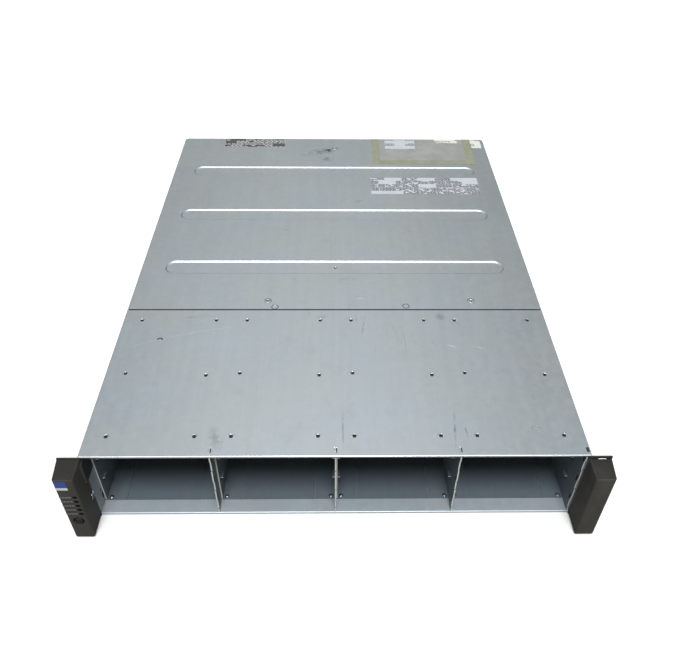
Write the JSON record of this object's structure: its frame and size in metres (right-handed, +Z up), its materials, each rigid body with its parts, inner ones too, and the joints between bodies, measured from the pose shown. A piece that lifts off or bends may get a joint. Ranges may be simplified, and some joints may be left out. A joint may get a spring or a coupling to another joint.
{
  "type": "storage array",
  "caption": "Low rack-mount disk shelf with open drive bays in front, plastic ear covers, ribbed top covers and pull-out power supplies and controller canisters behind.",
  "frame": {"origin": "centre of the chassis's underside, midway between its front and rear edges", "axes": "+X to the right seen from the front, +Y from the front to the rear, +Z up"},
  "size_m": [0.4826, 0.6523, 0.0879],
  "materials": {
    "galvanised_sheet": "hot-dip galvanised, faint spangle, scuffed",
    "galvanised_inner": "galvanised, cleaner than the outside",
    "tinned_steel": "bright tinned sheet",
    "zinc_screw": "zinc-plated",
    "circuit_board": "solder-mask green, satin",
    "connector_plastic": "black moulded",
    "ear_plastic": "dark grey-brown, fine texture",
    "button_plastic": "dark satin",
    "light_pipe": "clear, unlit",
    "fan_plastic": "black moulded",
    "rocker_plastic": "black gloss",
    "lever_plastic": "blue-grey touch point",
    "handle_steel": "black powder coat",
    "heatsink_aluminium": "extruded, plain"
  },
  "bodies": {
    "chassis": {"chassis_tub": "galvanised_sheet", "front_top_cover": "galvanised_sheet", "rear_top_cover": "galvanised_sheet", "bay_1_left_wall": "galvanised_sheet", "bay_1_right_wall": "galvanised_sheet", "bay_2_left_wall": "galvanised_sheet", "bay_2_right_wall": "galvanised_sheet", "bay_3_left_wall": "galvanised_sheet", "bay_3_right_wall": "galvanised_sheet", "bay_4_left_wall": "galvanised_sheet", "bay_4_right_wall": "galvanised_sheet", "midplane_board": "circuit_board", "midplane_frame": "galvanised_inner", "board_screws": "zinc_screw", "drive_connectors": "connector_plastic", "module_connectors": "connector_plastic", "left_partition": "galvanised_inner", "right_partition": "galvanised_inner", "canister_shelf": "galvanised_inner", "rear_brace": "galvanised_inner", "cover_screws": "zinc_screw", "left_rack_bracket": "galvanised_sheet", "right_rack_bracket": "galvanised_sheet", "panel_board": "circuit_board"},
    "left_ear": {"left_ear_cover": "ear_plastic", "status_lights": "light_pipe"},
    "power_button": {"power_button": "button_plastic"},
    "right_ear": {"right_ear_cover": "ear_plastic"},
    "left_psu": {"left_psu_case": "galvanised_inner", "left_psu_fan_frame": "fan_plastic", "left_psu_inlet": "connector_plastic", "left_psu_handle": "handle_steel"},
    "left_psu_fan": {"left_psu_fan_rotor": "fan_plastic"},
    "left_psu_rocker": {"left_psu_rocker": "rocker_plastic"},
    "left_psu_latch": {"left_psu_latch": "lever_plastic"},
    "right_psu": {"right_psu_case": "galvanised_inner", "right_psu_fan_frame": "fan_plastic", "right_psu_inlet": "connector_plastic", "right_psu_handle": "handle_steel"},
    "right_psu_fan": {"right_psu_fan_rotor": "fan_plastic"},
    "right_psu_rocker": {"right_psu_rocker": "rocker_plastic"},
    "right_psu_latch": {"right_psu_latch": "lever_plastic"},
    "lower_canister": {"lower_canister_tray": "galvanised_inner", "lower_canister_board": "circuit_board", "lower_canister_heatsink": "heatsink_aluminium", "lower_canister_ports": "tinned_steel"},
    "lower_canister_left_lever": {"lower_canister_left_lever": "lever_plastic"},
    "lower_canister_right_lever": {"lower_canister_right_lever": "lever_plastic"},
    "upper_canister": {"upper_canister_tray": "galvanised_inner", "upper_canister_board": "circuit_board", "upper_canister_heatsink": "heatsink_aluminium", "upper_canister_ports": "tinned_steel"},
    "upper_canister_left_lever": {"upper_canister_left_lever": "lever_plastic"},
    "upper_canister_right_lever": {"upper_canister_right_lever": "lever_plastic"}
  },
  "joints": [
    {"name": "left_ear_pull", "type": "slide", "parent": "chassis", "child": "left_ear", "axis": [0, -1, 0], "range_m": [0, 0.03]},
    {"name": "right_ear_pull", "type": "slide", "parent": "chassis", "child": "right_ear", "axis": [0, -1, 0], "range_m": [0, 0.03]},
    {"name": "power_button_press", "type": "slide", "parent": "left_ear", "child": "power_button", "axis": [0, 1, 0], "range_m": [0, 0.0011], "stiffness_N_per_m": 900},
    {"name": "left_psu_slide", "type": "slide", "parent": "chassis", "child": "left_psu", "axis": [0, 1, 0], "range_m": [0, 0.3]},
    {"name": "left_psu_fan_spin", "type": "hinge", "parent": "left_psu", "child": "left_psu_fan", "pos_m": [-0.1867, 0.29, 0.0437], "axis": [0, 1, 0], "continuous": true},
    {"name": "left_psu_rocker_tip", "type": "hinge", "parent": "left_psu", "child": "left_psu_rocker", "pos_m": [-0.1372, 0.298, 0.0517], "axis": [1, 0, 0], "range_deg": [-18, 0]},
    {"name": "left_psu_latch_swing", "type": "hinge", "parent": "left_psu", "child": "left_psu_latch", "pos_m": [-0.1284, 0.3075, 0.0717], "axis": [0, 0, -1], "range_deg": [0, 60]},
    {"name": "right_psu_slide", "type": "slide", "parent": "chassis", "child": "right_psu", "axis": [0, 1, 0], "range_m": [0, 0.3]},
    {"name": "right_psu_fan_spin", "type": "hinge", "parent": "right_psu", "child": "right_psu_fan", "pos_m": [0.1547, 0.29, 0.0437], "axis": [0, 1, 0], "continuous": true},
    {"name": "right_psu_rocker_tip", "type": "hinge", "parent": "right_psu", "child": "right_psu_rocker", "pos_m": [0.2042, 0.298, 0.0517], "axis": [1, 0, 0], "range_deg": [-18, 0]},
    {"name": "right_psu_latch_swing", "type": "hinge", "parent": "right_psu", "child": "right_psu_latch", "pos_m": [0.213, 0.3075, 0.0717], "axis": [0, 0, -1], "range_deg": [0, 60]},
    {"name": "lower_canister_slide", "type": "slide", "parent": "chassis", "child": "lower_canister", "axis": [0, 1, 0], "range_m": [0, 0.3]},
    {"name": "lower_canister_left_lever_swing", "type": "hinge", "parent": "lower_canister", "child": "lower_canister_left_lever", "pos_m": [-0.1064, 0.3075, 0.0211], "axis": [0, 0, 1], "range_deg": [0, 70]},
    {"name": "lower_canister_right_lever_swing", "type": "hinge", "parent": "lower_canister", "child": "lower_canister_right_lever", "pos_m": [0.1064, 0.3075, 0.0211], "axis": [0, 0, -1], "range_deg": [0, 70]},
    {"name": "upper_canister_slide", "type": "slide", "parent": "chassis", "child": "upper_canister", "axis": [0, 1, 0], "range_m": [0, 0.3]},
    {"name": "upper_canister_left_lever_swing", "type": "hinge", "parent": "upper_canister", "child": "upper_canister_left_lever", "pos_m": [-0.1064, 0.3075, 0.0626], "axis": [0, 0, 1], "range_deg": [0, 70]},
    {"name": "upper_canister_right_lever_swing", "type": "hinge", "parent": "upper_canister", "child": "upper_canister_right_lever", "pos_m": [0.1064, 0.3075, 0.0626], "axis": [0, 0, -1], "range_deg": [0, 70]}
  ]
}
